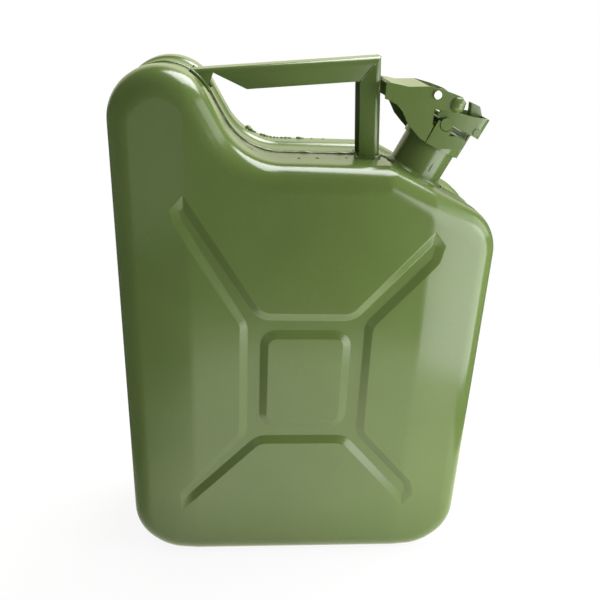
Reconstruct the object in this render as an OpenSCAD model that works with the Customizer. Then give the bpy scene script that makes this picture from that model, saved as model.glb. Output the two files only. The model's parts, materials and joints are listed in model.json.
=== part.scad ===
// Pressed-steel jerrycan of the ten-litre class.
// X points to the filler side, Y from front to back, Z up; the origin is the middle of the base.

/* [Can body] */
// Width across the narrow sides
body_w = 270; // [240:1:300]
// Depth over the two broad panels
body_d = 126; // [110:1:150]
// Height of the waist under the handle
waist_z = 329; // [310:1:345]
// Rise of the air hump above the waist
hump_rise = 59; // [45:1:75]
// Sheet thickness of the two shells
sheet_t = 1; // [0.7:0.1:1.5]
// Radius of the rolled edge between a broad panel and a narrow side
edge_r = 18; // [12:1:24]
// Corner radius at the two bottom corners
base_r = 40; // [25:1:55]
// Radius of the hump
hump_r = 35; // [28:1:40]
// Radius of the hollow curve between hump and waist
hollow_r = 45; // [30:1:60]
// Radius of the corner under the filler
filler_corner_r = 35; // [25:1:45]
// Radius where the waist turns into the filler slope
slope_r = 20; // [12:1:30]
// Depth below the waist where the filler side starts to turn in
filler_drop = 61; // [50:1:75]
// Slope of the filler side, which the neck stands square to
slope_tilt = 26; // [20:1:32]
// Depth of the band that holds the seam, below the rims
band_d = 1.8; // [1:0.1:4]
// Width of the band
band_w = 53; // [40:1:60]
// Height of the folded seam ridge on the band
ridge_h = 0.8; // [0.5:0.1:1.5]
// Distance of the panel creases from the narrow sides
crease_in = 52; // [48:1:58]
// How far the side bands fall back at the sides
crease_drop = 5; // [2:0.5:8]

/* [Pressing] */
// Depth of the pressed cross
press_depth = 5.5; // [3:0.5:8]
// Width of its sloped walls
press_wall = 6; // [4:0.5:8]
// Height of its centre above the middle of the waist's height
press_up = 5; // [-10:0.5:15]
// Half width of the ring at its centre
ring_w = 49; // [44:1:56]
// Half height of that ring
ring_h = 56; // [50:1:62]
// Half width of the raised pad inside the ring
pad_w = 34; // [28:1:38]
// Half height of the raised pad
pad_h = 42; // [34:1:46]
// Distance of the leg ends from the narrow sides
leg_in = 39; // [37:1:45]

/* [Handle] */
// Width of the folded channel
grip_w = 25; // [20:1:30]
// Height of the folded channel
grip_h = 15; // [12:1:18]
// Sheet thickness of the channel
grip_t = 1.5; // [1:0.1:2]
// Outer fold radius of the channel
grip_r = 5; // [3:0.5:6]
// Distance of the handle corner from the end of the waist
corner_in = 7.27; // [4:0.5:14]
// Height of the handle corner above the waist
corner_rise = 66.4; // [60:0.2:76]
// Rise of the bar from the middle of the hump to the corner
bar_rise = 14.46; // [10:0.02:20]
// Lean of the leg, foot outwards
leg_lean = 3.6; // [0:0.2:6]

/* [Filler neck] */
// Outer radius of the neck tube
neck_r = 20; // [18:0.5:22]
// Wall of the neck tube
neck_t = 1.2; // [1:0.1:2]
// Length of the neck above the slope
neck_len = 36; // [30:1:42]
// Distance of the neck's foot from the filler side
neck_side = 54.2; // [50:0.1:58]
// Radius of the rolled lip
lip_r = 1.5; // [1:0.1:2]
// Thickness of the stamped collar
collar_t = 1.9; // [1.5:0.1:2.5]

/* [Closure] */
// Radius of the cap cover
cover_r = 21.4; // [20.5:0.1:23]
// Sheet thickness of the cover
cover_t = 1.4; // [1:0.1:2]
// Thickness of the rubber ring
gasket_t = 2; // [1.5:0.1:3]
// Sheet thickness of the bail
bail_t = 1.8; // [1.5:0.1:2.2]
// Sheet thickness of the lever
lever_t = 2; // [1.5:0.1:2.5]
// Radius of the hinge pin
hinge_pin_r = 1.8; // [1.5:0.1:2.2]
// Radius of the lever pivot
pivot_r = 3.5; // [3:0.1:4]
// Radius of the press pin
press_pin_r = 2.4; // [2:0.1:3]
// Radial clearance of the running pins
run_gap = 0.05; // [0.02:0.01:0.1]

/* [Hidden] */

// Overrun of every cut, the smallest gap between seated pieces, and the paint colours
over = 1;
seat = 0.05;
hair = 0.01;
crease_set = 0.004;
paint = "#5f7040";
paint_dark = "#4a5a33";
zinc = "#c9ccca";
rubber = "#1d1f1e";

// Degrees between the points of a rounded outline, of the can and of its pressing
arc_step = 9;
press_step = 18;
$fn = 64;

// Places that follow the can's width and the height of its waist
hump_z = waist_z + hump_rise;
filler_corner_z = waist_z - filler_drop;
press_z = waist_z / 2 + press_up;
corner_z = waist_z + corner_rise;
crease_x = body_w / 2 - crease_in;
leg_x = body_w / 2 - leg_in;
neck_x = body_w / 2 - neck_side;

// Profile of the narrow side, from the seam to the panel
band_step = 2.5;
land_y = band_w / 2 + band_step;
panel_y = body_d / 2;
edge_steps = 5;
crease_fall = crease_drop / (body_w / 2 - crease_x);

// Outline of the can, seen from the front
hump_steep = 60.6;
hump_flat = 0.1;
hump_top_x = -body_w / 2 + hump_r * (1 + tan(hump_steep / 2)) + hump_flat;
hump_foot_x = hump_top_x + (hump_z - waist_z) / tan(hump_steep);
slope_dir = [sin(slope_tilt), cos(slope_tilt)];
filler_c = [body_w / 2 - filler_corner_r, filler_corner_z];
slope_c = filler_c * slope_dir + filler_corner_r;
filler_top_z = (slope_c - body_w / 2 * slope_dir[0]) / slope_dir[1];
waist_end_x = (slope_c - waist_z * slope_dir[1]) / slope_dir[0];
corner_x = waist_end_x - corner_in;
hump_c = [-body_w / 2 + hump_r, hump_z - hump_r];
hump_dir = [cos(90 - hump_steep), sin(90 - hump_steep)];
crease_hump_x = -crease_x + edge_r * hump_dir[0];
crease_hump_z = waist_z - (crease_hump_x - hump_foot_x) * tan(hump_steep);
crease_slope_x = crease_x + edge_r * slope_dir[0];
crease_slope_z = (slope_c - crease_slope_x * slope_dir[0]) / slope_dir[1];
body_corners = [
    [-body_w / 2, 0, base_r], [-crease_x, 0, 0], [crease_x, 0, 0], [body_w / 2, 0, base_r],
    [body_w / 2, filler_top_z, filler_corner_r], [crease_slope_x, crease_slope_z, 0],
    [waist_end_x, waist_z, slope_r],
    [hump_foot_x, waist_z, hollow_r], [crease_hump_x, crease_hump_z, 0], [hump_top_x, hump_z, hump_r],
    [-body_w / 2, hump_z, hump_r]
];

// Outline of the pressed cross: heights of the leg ends above and below its centre
root_w = 32;
root_h = 45;
drawn_waist = 329;
tall = waist_z / drawn_waist;
leg_ul = [157, 124] * tall;
leg_ur = [130.5, 99.5] * tall;
leg_ll = [-103, -123] * tall;
leg_lr = [-98.5, -130] * tall;
ring_fillet = 11;
leg_fillet = 9;
leg_fillet_ul = 8.8;
leg_fillet_ll = 6.9;
press_soft = 1.2;
pad_fillet = 13;
pad_drop = 0.8;
cross_ends = [
    [ring_w, -root_h, ring_fillet], [ring_w, root_h, ring_fillet],
    [leg_x, leg_ur[1], leg_fillet], [leg_x, leg_ur[0], leg_fillet],
    [root_w, ring_h, ring_fillet], [0, ring_h, 0], [-root_w, ring_h, ring_fillet],
    [-leg_x, leg_ul[0], leg_fillet_ul], [-leg_x, leg_ul[1], leg_fillet_ul],
    [-ring_w, root_h, ring_fillet], [-ring_w, -root_h, ring_fillet],
    [-leg_x, leg_ll[0], leg_fillet_ll], [-leg_x, leg_ll[1], leg_fillet_ll],
    [-root_w, -ring_h, ring_fillet], [0, -ring_h, 0], [root_w, -ring_h, ring_fillet],
    [leg_x, leg_lr[1], leg_fillet], [leg_x, leg_lr[0], leg_fillet]
];
pad_corners = [
    [-pad_w, -pad_h, pad_fillet], [0, -pad_h, 0], [pad_w, -pad_h, pad_fillet],
    [pad_w, pad_h, pad_fillet], [0, pad_h, 0], [-pad_w, pad_h, pad_fillet]
];

// Handle: lengths along its parts, the notch at the hump end
bar_slope = atan(bar_rise / (corner_x - hump_c[0]));
bar_end_x = hump_c[0] + hump_r / 4;
bar_len = (corner_x - bar_end_x) / cos(bar_slope);
foot_in = 6.7;
corner_at = [corner_x, corner_z];
bar_dir = [-cos(bar_slope), -sin(bar_slope)];
bar_out = [-sin(bar_slope), cos(bar_slope)];
leg_dir = [sin(leg_lean), -cos(leg_lean)];
leg_out = [cos(leg_lean), sin(leg_lean)];
mitre_r = 0.6;
hump_weld_from = 28;
hump_weld_turn = 32;
foot_at = (corner_z - waist_z + band_d) / cos(leg_lean);
leg_len = foot_at + foot_in;
notch_top = bar_point(32.5, 2.8);
notch_end = bar_point(55.5, grip_h);
notch_foot = bar_point(29.6, 10.3);
notch_low = 30;
weld_r = 1.1;
foot_weld_w = 1.6;
foot_weld_h = 1.8;

// Seam bead on the ridge, with lumps along the waist
bead_w = 3;
bead_top = 0.3;
lump_r = 1.3;
lump_share = [0.08, 0.2, 0.27, 0.4, 0.46, 0.58, 0.7, 0.83, 0.92];

// Neck: the tube reaches into the can, the collar holds the closure
neck_in = 14;
neck_gap = 0.3;
neck_stand = 2.3;
neck_base_z = (slope_c - band_d - neck_x * slope_dir[0]) / slope_dir[1] + neck_stand;
neck_foot = -neck_stand * slope_dir[1];
neck_weld_r = 23.6;
neck_weld_h = 3.4;
lip_in = 0.3;
collar_low = 22;
collar_high = 33;
collar_half = 23.4;
ear_share = [[-10, 22], [2.2, 22], [2.2, 39.4], [-10, 39.4]];
trunnion_at = [-3.5, 39.4];
trunnion_r = 4.4;
trunnion_out = 23.8;
cradle_gap = 0.5;
nose_share = [[1, 23], [10, 27], [15.5, 31], [15.6, 36], [8, 36], [1, 33]];
hinge = [19.6, 44.6];
eye_r = 3.3;
tongue_w = 8;
tongue_share = [[21, 22], [22.9, 22], [22.9, 44.6], [21.75, 44.6], [21.75, 34.5], [21, 33]];
slot_gap = 0.4;
slot_high = 50.7;

// Closure: heights along the neck axis
mouth_top = neck_len + lip_r;
gasket_in_r = 15;
gasket_r = 20.2;
cover_low = mouth_top + gasket_t + 2 * seat;
crown_r = 14;
crown_h = 4.2;
crown_soft = 2.5;
rivet_r = 3;
rivet_head_r = 5;
rivet_head_h = 1;
plate_t = 1.4;
plate_gap = 0.2;
bail_half = 20.8;
bail_low = cover_low + cover_t + seat;
bail_end = 25;
bail_start = -12;
bail_soft = 7;
pivot = [-4.6, 53.9];
pivot_ear_r = 5.6;
bail_top_share = [[25.2, 47], [24.6, 55.8], [23, 56.2], [12, 52.6], [2, 50]];
lug_w = 6.5;
lug_share = [[23.1, 49.5], [23.1, 56], [18, 61], [10, 60.5], [13.6, 53.4], [17, 51.2]];
hinge_head_r = 2.8;
hinge_head_h = 0.6;

// Lever: its side plates seen from the front, in neck coordinates
lever_half = 26;
lever_share = [
    [-56.3, 43.95], [-40.9, 48.4], [-27.7, 55.6], [-16.7, 58.1], [-8.6, 59.4], [-4.6, 59.8],
    [0, 57.6], [0.6, 53.9], [-1.6, 50.6], [-5, 48.6], [-17.6, 44.2], [-13.6, 35.6], [-12, 34.4],
    [-11.4, 22.6], [-15.5, 22.6], [-21.6, 24.6], [-28.9, 27.4], [-36.4, 32.6], [-42.2, 34.6],
    [-48.9, 34.4], [-51.4, 34]
];
web_share = [[-53, 44.9], [-40.9, 48.4], [-28.5, 55.2], [-27.6, 53.4], [-40.2, 46.5], [-52.4, 43]];
press_at = [-20.9, 53];
press_head_r = 2.8;
press_head_h = 1.4;
dome_r = 5.4;
dome_h = 3.2;
spacer_r = 5.2;

// Breather tube: stations of its middle line, seen from the front
vent_r = 4;
vent_t = 0.8;
vent_bend = 14;
vent_sides = 16;
vent_drop = 12;
vent_level = waist_z - vent_drop;
vent_v = -14;
vent_top = 33;
vent_low = -24;
vent_turn = 30.8;
vent_rise = 14.4;
vent_end = [4, 15];
vent_clip_in = 25.6;
vent_path = [
    neck_point(vent_v, vent_top), neck_point(vent_v, vent_low), [waist_end_x - vent_turn, vent_level],
    [hump_foot_x - vent_rise, vent_level], hump_c + vent_end
];
clip_x = hump_foot_x + vent_clip_in;
clip_w = 10;
clip_t = 1;
clip_foot = 12;
clip_soft = 1.5;

function neck_point(v, u) = [neck_x, neck_base_z] + v * right_of(slope_dir) + u * slope_dir;
function bar_point(x, low) = [hump_c[0] + x, corner_z - bar_rise + x * tan(bar_slope) - low];
function unit(v) = v / norm(v);
function right_of(v) = [v[1], -v[0]];
function turned(v, a) = [v[0] * cos(a) - v[1] * sin(a), v[0] * sin(a) + v[1] * cos(a)];

// One rounded corner as a list of [point, outward normal]
function corner(a, b, c, r, step) =
    let (
        u1 = unit(b - a), u2 = unit(c - b),
        bend = atan2(u1[0] * u2[1] - u1[1] * u2[0], u1 * u2),
        side = sign(bend), n1 = right_of(u1),
        start = b - u1 * r * tan(abs(bend) / 2),
        centre = start - side * r * n1,
        steps = max(1, ceil(abs(bend) / step))
    )
    r <= 0 ? [[b, n1 * (1 - r)]]
        : [for (k = [0:steps]) let (n = turned(n1, bend * k / steps)) [centre + side * r * n, n]];

function xz(p) = [p[0], p[1]];
function rounded(list, step) =
    let (n = len(list))
    [for (i = [0:n - 1])
        each corner(xz(list[(i + n - 1) % n]), xz(list[i]), xz(list[(i + 1) % n]), list[i][2], step)];

// The same list with a point wherever its outline passes a crease
function with_creases(list) =
    let (n = len(list))
    [for (i = [0:n - 1]) each concat([list[i]], crease_points(list[i], list[(i + 1) % n]))];
function crease_points(a, b) =
    let (x = sign(a[0] + b[0]) * crease_x, share = (x - a[0]) / (a[0] == b[0] ? 1 : b[0] - a[0]))
    a[0] != b[0] && share > 0 && share < 1 ? [[x, a[1] + share * (b[1] - a[1]), -crease_set]] : [];

can_line = rounded(body_corners, arc_step);
cross_line = rounded(with_creases(cross_ends), press_step);
pad_line = rounded(pad_corners, press_step);

function inset_line(line, d) = [for (e = line) e[0] - e[1] * d];
function fall(x) = max(0, abs(x) - crease_x) * crease_fall;

// Rings of one skin of a half can, o inside the outer face: rim, wall of the cross, wall of its pad
function flat_ring(d, y) = [for (p = inset_line(can_line, d)) [p[0], y, p[1]]];
function edge_ring(o, a) = [
    for (e = can_line)
        let (
            r = edge_r - o,
            p = e[0] - e[1] * (edge_r - r * cos(a)),
            y = panel_y - fall((e[0] - e[1] * edge_r)[0]) - edge_r + r * sin(a)
        ) [p[0], y, p[1]]
];
function rim_rings(o) = concat(
    o > 0 ? [flat_ring(band_d + o, 0)]
        : [flat_ring(band_d - ridge_h, 0), flat_ring(band_d - ridge_h, sheet_t), flat_ring(band_d, sheet_t)],
    [flat_ring(band_d + o, band_w / 2 - o), flat_ring(o, land_y - o)],
    [for (k = [0:edge_steps]) edge_ring(o, 90 * k / edge_steps)]
);
soft_h = press_soft / 2;
cross_steps = [[0, 0], [press_soft, soft_h], [press_wall - press_soft, press_depth - soft_h], [press_wall, press_depth]];
pad_steps = [
    [0, press_depth], [press_soft, press_depth - soft_h],
    [press_wall - press_soft, pad_drop + soft_h], [press_wall, pad_drop]
];
function press_ring(line, step, o) = [
    for (p = inset_line(line, step[0]))
        [p[0], panel_y - o - step[1] - fall(p[0]) * (1 - step[1] / press_depth), p[1] + press_z]
];
function skin_rings(o) = [
    rim_rings(o),
    [for (s = cross_steps) press_ring(cross_line, s, o)],
    [for (s = pad_steps) press_ring(pad_line, s, o)]
];

// Faces between rings of n points each, the first point being number first
function ring_faces(first, n, m) = [for (k = [0:m - 2]) for (i = [0:n - 1])
    let (a = first + k * n + i, b = first + k * n + (i + 1) % n)
    each [[a, b, b + n], [a, b + n, a + n]]];

// Flat outlines split into triangles: one corner after another is cut off, all seen from the front
function turn_of(a, b, c) = (b[0] - a[0]) * (c[2] - b[2]) - (b[2] - a[2]) * (c[0] - b[0]);
function is_in(p, a, b, c) =
    turn_of(a, b, p) > -hair * hair && turn_of(b, c, p) > -hair * hair && turn_of(c, a, p) > -hair * hair;
function is_ear(points, list, k) =
    let (
        n = len(list), i = list[(k + n - 1) % n], j = list[(k + 1) % n],
        a = points[i], b = points[list[k]], c = points[j]
    )
    turn_of(a, b, c) > hair * hair
        && len([for (m = list) if (m != i && m != j && m != list[k] && is_in(points[m], a, b, c)) 1]) == 0;
function ear_reach(points, list, k) =
    let (n = len(list)) norm(points[list[(k + 1) % n]] - points[list[(k + n - 1) % n]]);
function best_ear(points, list) =
    let (marks = [for (k = [0:len(list) - 1]) is_ear(points, list, k) ? ear_reach(points, list, k) : 1 / 0])
    search(min(marks), marks)[0];
function split(points, list, out = []) =
    len(list) < 4 ? concat(out, [list])
        : let (n = len(list), e = best_ear(points, list))
            split(
                points, [for (i = [0:n - 1]) if (i != e) list[i]],
                concat(out, [[list[(e + n - 1) % n], list[e], list[(e + 1) % n]]])
            );
function up(a, b, n) = [for (i = [a:a + (b - a + n) % n]) i % n];
function down(a, b, n) = [for (i = [0:(a - b + n) % n]) (a - i + n) % n];
function shifted(list, by) = [for (i = list) i + by];

// Numbers of the points where an outline passes a crease or its middle line
function at_x(line, d, x) = [
    for (i = [0:len(line) - 1]) if (abs((line[i][0] - line[i][1] * d)[0] - x) < hair) i
];

// Faces of one skin: rim, panel in six flat parts, cross wall, floor in two parts, pad
function skin_faces(points, base, rims) =
    let (
        n = len(can_line), m = len(cross_line), q = len(pad_line),
        rim = base + (rims - 1) * n, cross = base + rims * n,
        floor = cross + (len(cross_steps) - 1) * m, pad = floor + m,
        r = at_x(can_line, edge_r, crease_x), l = at_x(can_line, edge_r, -crease_x),
        c = at_x(cross_line, 0, crease_x), e = at_x(cross_line, 0, -crease_x),
        f = at_x(cross_line, 0, 0), g = at_x(pad_line, 0, 0)
    )
    concat(
        ring_faces(base, n, rims),
        [for (part = [
            concat(shifted(up(r[1], l[1], n), rim), shifted(down(e[0], c[1], m), cross)),
            concat(shifted(up(l[0], r[0], n), rim), shifted(down(c[2], e[3], m), cross)),
            shifted(down(e[2], e[1], m), cross),
            shifted(down(c[0], c[3], m), cross),
            concat(
                shifted(up(l[1], l[0], n), rim),
                shifted(down(e[3], e[2], m), cross), shifted(down(e[1], e[0], m), cross)
            ),
            concat(
                shifted(up(r[0], r[1], n), rim),
                shifted(down(c[1], c[0], m), cross), shifted(down(c[3], c[2], m), cross)
            )
        ]) each split(points, part)],
        ring_faces(cross, m, len(cross_steps)),
        [for (part = [
            concat(shifted(up(f[0], f[1], m), floor), shifted(down(g[0], g[1], q), pad)),
            concat(shifted(up(f[1], f[0], m), floor), shifted(down(g[1], g[0], q), pad))
        ]) each split(points, part)],
        ring_faces(pad, q, len(pad_steps)),
        split(points, [for (i = [0:q - 1]) pad + (len(pad_steps) - 1) * q + i])
    );
function reversed(list) = [for (i = [len(list) - 1:-1:0]) list[i]];

// Pressed sheet of one half: outer skin, inner skin and the flat edge at the seam between them
module half_sheet() {
    outer = skin_rings(0);
    inner = skin_rings(sheet_t);
    n = len(can_line);
    points = concat([for (part = outer) for (ring = part) each ring], [for (part = inner) for (ring = part) each ring]);
    second = len(points) / 2 + n;
    polyhedron(points = points, convexity = 8, faces = concat(
        skin_faces(points, 0, len(outer[0])),
        [for (f = skin_faces(points, second, len(inner[0]))) reversed(f)],
        [for (i = [0:n - 1]) [i, second + i, second + (i + 1) % n, (i + 1) % n]]
    ));
}

// Frame of the filler neck: z along its axis, x down the slope
module at_neck() translate([neck_x, 0, neck_base_z]) rotate([0, slope_tilt, 0]) children();
module neck_space(r) at_neck() translate([0, 0, -neck_in - over]) cylinder(r = r, h = neck_in + neck_len);

// The can as a solid prism, d inside its rims, for parts that sit on the bands
module can_space(d, w) rotate([90, 0, 0]) linear_extrude(w, center = true) polygon(inset_line(can_line, d));
module seated() difference() {
    children();
    can_space(band_d - seat, body_d);
    can_space(bead_top - seat, bead_w + 2 * seat);
}

module shell_half() difference() {
    half_sheet();
    neck_space(neck_r + neck_gap);
    at_neck() translate([0, 0, neck_foot + seat]) cylinder(r = neck_weld_r + neck_gap, h = neck_weld_h);
}

module front_shell() color(paint) mirror([0, 1, 0]) shell_half();
module back_shell() color(paint) shell_half();

// Bead that closes the seam on top of the two folded edges
module seam_weld() color(paint) difference() {
    union() {
        can_space(bead_top, bead_w);
        seam_lumps();
    }
    can_space(band_d - seat, body_d);
    can_space(band_d - ridge_h - seat, 2 * (sheet_t + seat));
    neck_space(neck_weld_r + neck_gap);
}
module seam_lumps() for (s = lump_share) {
    x = hump_foot_x + hollow_r / 2 + s * (waist_end_x - hump_foot_x - hollow_r);
    translate([x, 0, waist_z - band_d + ridge_h]) rotate([90, 0, 0])
        cylinder(r = lump_r, h = bead_w - s, center = true);
}

// Section of the handle: a folded channel, open towards the hand
module channel_form(w, h, r) {
    translate([-w / 2, -h]) square([w, h - r]);
    translate([-w / 2 + r, -h]) square([w - 2 * r, h]);
    for (s = [-1, 1]) translate([s * (w / 2 - r), -r]) circle(r);
}
module channel() difference() {
    channel_form(grip_w, grip_h, grip_r);
    translate([0, -grip_t]) channel_form(grip_w - 2 * grip_t, grip_h, grip_r - grip_t);
}

// Runs a section from the handle's outer corner along dir, with its top facing out
module along(dir, out) {
    side = out[1] * dir[0] - out[0] * dir[1];
    multmatrix([
        [0, out[0], dir[0], corner_x], [side, 0, 0, 0], [0, out[1], dir[1], corner_z], [0, 0, 0, 1]
    ]) children();
}
module mitre_cut(s) {
    dir = unit(bar_out + leg_out);
    across = right_of(dir) * s;
    near = corner_at - across * seat / 2;
    rotate([90, 0, 0]) linear_extrude(grip_w + 2 * over, center = true) polygon([
        near + dir * grip_h, near - dir * 2 * grip_h,
        near - dir * 2 * grip_h + across * leg_len, near + dir * grip_h + across * leg_len
    ]);
}

module handle_bar() color(paint) seated() difference() {
    along(bar_dir, bar_out) linear_extrude(bar_len) channel();
    mitre_cut(1);
    rotate([90, 0, 0]) linear_extrude(grip_w + 2 * over, center = true) polygon([
        notch_top, notch_end, notch_end - [0, notch_low], notch_foot - [notch_low / 6, notch_low], notch_foot
    ]);
}
module handle_leg() color(paint) seated() difference() {
    along(leg_dir, leg_out) linear_extrude(leg_len) channel();
    mitre_cut(-1);
}

// Beads of the handle: over its mitred corner, beside the hump and round the foot
module mitre_weld() color(paint) {
    dir = unit(bar_out + leg_out);
    from = grip_r / (dir * bar_out);
    size = grip_h / (dir * bar_out) - from;
    for (s = [-1, 1]) translate([corner_x, s * (grip_w / 2 + mitre_r + seat), corner_z])
        rotate([0, atan2(-dir[0], -dir[1]), 0]) translate([0, 0, from]) cylinder(r = mitre_r, h = size);
    at = corner_at + dir * (mitre_r + seat);
    translate([at[0], 0, at[1]]) rotate([90, 0, 0]) cylinder(r = mitre_r, h = grip_w - 2 * grip_r, center = true);
}
module hump_weld() color(paint)
    for (s = [-1, 1]) translate([hump_c[0], s * (grip_w / 2 + weld_r + seat), hump_c[1]])
        rotate([90, 0, 0]) rotate([0, 0, hump_weld_from]) rotate_extrude(angle = hump_weld_turn)
            translate([hump_r - band_d + weld_r + seat, 0]) circle(weld_r);
module foot_weld() color(paint) seated() difference() {
    along(leg_dir, leg_out) translate([0, 0, foot_at - foot_weld_h])
        linear_extrude(leg_len - foot_at) foot_form(foot_weld_w);
    along(leg_dir, leg_out) linear_extrude(leg_len + over) foot_form(seat);
}
module foot_form(d) translate([0, d]) channel_form(grip_w + 2 * d, grip_h + 2 * d, grip_r + d);

// Prism across the can of an outline in neck coordinates, from half to half
module across(w, from) at_neck() for (s = [-1, 1])
    translate([0, s * (from + w) / 2, 0]) rotate([90, 0, 0]) linear_extrude(w - from, center = true) children();
module pin_across(at, r, w, from) across(w, from) translate(at) circle(r);

module filler_neck() color(paint) at_neck() difference() {
    union() {
        translate([0, 0, -neck_in]) cylinder(r = neck_r, h = neck_in + neck_len);
        rotate_extrude() translate([neck_r - lip_in, neck_len]) circle(lip_r);
    }
    translate([0, 0, -neck_in - over]) cylinder(r = neck_r - neck_t, h = neck_in + neck_len + lip_r + 2 * over);
}
module neck_weld() color(paint) at_neck() rotate_extrude() polygon([
    [neck_r + seat, neck_foot + 2 * seat], [neck_weld_r, neck_foot + 2 * seat],
    [neck_weld_r - neck_weld_h / 3, neck_foot + neck_weld_h / 2], [neck_r + seat, neck_foot + neck_weld_h]
]);

// Collar: a ring round the neck with an ear, a nose and a hinge arm on either side
module neck_collar() color(paint) {
    ring_r = collar_half - collar_t + seat;
    at_neck() translate([0, 0, collar_low]) difference() {
        cylinder(r = ring_r, h = collar_high - collar_low);
        translate([0, 0, -over]) cylinder(r = neck_r + seat, h = collar_high - collar_low + 2 * over);
    }
    across(collar_half, collar_half - collar_t) difference() {
        union() {
            polygon(ear_share);
            polygon(nose_share);
        }
        translate(trunnion_at) circle(trunnion_r + cradle_gap);
    }
    across(tongue_w / 2, 0) difference() {
        union() {
            polygon(tongue_share);
            translate(hinge) circle(eye_r);
        }
        translate(hinge) circle(hinge_pin_r + seat);
    }
}
module hinge_pins() color(paint_dark) {
    pin_across(hinge, hinge_pin_r, bail_half + hinge_head_h, seat);
    pin_across(hinge, hinge_head_r, bail_half + hinge_head_h, bail_half + seat);
}

// Cap: a bail bent round the cover, hinged at its closed end
module cap_bail() color(paint) difference() {
    intersection() {
        at_neck() linear_extrude(bail_low + mouth_top) difference() {
            bail_form(bail_half, bail_end, bail_soft);
            bail_form(bail_half - bail_t, bail_end - bail_t, bail_soft - bail_t);
        }
        across(bail_half + over, 0) union() {
            polygon(concat([[bail_start, bail_low], [bail_end + over, bail_low]], bail_top_share,
                [pivot, pivot - [pivot_ear_r, 0]]));
            translate(pivot) circle(pivot_ear_r);
        }
    }
    pin_across(hinge, hinge_pin_r + run_gap, bail_half + over, 0);
    tongue_slot();
    pin_across(pivot, pivot_r + seat, bail_half + over, 0);
}
module tongue_slot() across(tongue_w / 2 + slot_gap, 0) polygon([
    [hinge[0], bail_low - over], [bail_end + over, bail_low - over], [bail_end + over, slot_high],
    [hinge[0], slot_high]
]);
module bail_form(half, end, r) {
    translate([bail_start - over, -half]) square([end - r - bail_start + over, 2 * half]);
    translate([bail_start - over, -half + r]) square([end - bail_start + over, 2 * (half - r)]);
    for (s = [-1, 1]) translate([end - r, s * (half - r)]) circle(r);
}
module bail_lug() color(paint_dark) across(lug_w / 2, 0) polygon(lug_share);

module cap_cover() color(paint) at_neck() difference() {
    union() {
        translate([0, 0, cover_low]) cylinder(r = cover_r, h = cover_t);
        translate([0, 0, cover_low]) crown(crown_r, crown_h + cover_t);
    }
    translate([0, 0, cover_low - over]) crown(crown_r - cover_t, crown_h + over);
    translate([0, 0, cover_low - over]) cylinder(r = rivet_r + seat, h = crown_h + cover_t + 2 * over);
}
module crown(r, h) rotate_extrude() polygon([
    [0, 0], [r, 0], [r, h - crown_soft], [r - crown_soft / 3, h - crown_soft / 3],
    [r - crown_soft, h], [0, h]
]);
module cap_gasket() color(rubber) at_neck() translate([0, 0, mouth_top + seat]) difference() {
    cylinder(r = gasket_r, h = gasket_t);
    translate([0, 0, -over]) cylinder(r = gasket_in_r, h = gasket_t + 2 * over);
}
module gasket_plate() color(zinc) at_neck() translate([0, 0, cover_low - seat - plate_t]) difference() {
    cylinder(r = gasket_in_r - plate_gap, h = plate_t);
    translate([0, 0, -over]) cylinder(r = rivet_r + seat, h = plate_t + 2 * over);
}
module cap_rivet() color(paint_dark) at_neck() {
    low = cover_low - seat - plate_t;
    high = cover_low + crown_h + cover_t;
    translate([0, 0, low - rivet_head_h]) cylinder(r = rivet_r, h = high - low + 2 * rivet_head_h);
    translate([0, 0, low - rivet_head_h - seat]) cylinder(r = rivet_head_r, h = rivet_head_h);
    translate([0, 0, high + seat]) cylinder(r = rivet_head_r, h = rivet_head_h);
}

// Buttons that drop into the cradles of the collar, each tied to a leg of the bail
module cap_trunnions() color(paint) difference() {
    pin_across(trunnion_at, trunnion_r, trunnion_out, bail_half + seat);
    at_neck() cylinder(r = cover_r + seat, h = bail_low);
}

// Lever: two cheeks joined by a folded web along their upper edge
module cap_lever() color(paint) {
    across(lever_half, lever_half - lever_t) difference() {
        polygon(lever_share);
        translate(pivot) circle(pivot_r + run_gap);
        translate(press_at) circle(press_pin_r + seat);
    }
    across(lever_half - lever_t / 2, 0) polygon(web_share);
}
module pivot_pin() color(paint_dark) {
    pin_across(pivot, pivot_r, lever_half + seat, 0);
    at_neck() for (s = [0, 1]) mirror([0, s, 0])
        translate([pivot[0], lever_half + seat, pivot[1]]) rotate([-90, 0, 0]) dome();
}
module dome() rotate_extrude() intersection() {
    ball_r = (dome_r * dome_r + dome_h * dome_h) / (2 * dome_h);
    translate([0, dome_h - ball_r]) circle(ball_r);
    square([dome_r, dome_h + over]);
}
module pivot_spacers() color(paint) across(lever_half - lever_t - run_gap, bail_half + seat) difference() {
    translate(pivot) circle(spacer_r);
    translate(pivot) circle(pivot_r + seat);
}
module press_pin() color(zinc) {
    pin_across(press_at, press_pin_r, lever_half + seat, 0);
    pin_across(press_at, press_head_r, lever_half + press_head_h, lever_half + seat);
}

// Breather tube from the mouth to the air space in the hump, and its strap
function tube_turn(i) =
    let (u1 = unit(vent_path[i] - vent_path[i - 1]), u2 = unit(vent_path[i + 1] - vent_path[i]))
    atan2(u1[0] * u2[1] - u1[1] * u2[0], u1 * u2);
function tube_bend(i) =
    let (
        u1 = unit(vent_path[i] - vent_path[i - 1]), turn = tube_turn(i), side = sign(turn),
        start = vent_path[i] - u1 * vent_bend * tan(abs(turn) / 2),
        mid = start - side * vent_bend * right_of(u1),
        steps = ceil(abs(turn) / press_step)
    )
    [for (k = [0:steps]) let (out = turned(right_of(u1), turn * k / steps)) [mid + side * vent_bend * out, out]];
vent_last = len(vent_path) - 1;
vent_line = concat(
    [[vent_path[0], right_of(unit(vent_path[1] - vent_path[0]))]],
    [for (i = [1:vent_last - 1]) each tube_bend(i)],
    [[vent_path[vent_last], right_of(unit(vent_path[vent_last] - vent_path[vent_last - 1]))]]
);
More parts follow.
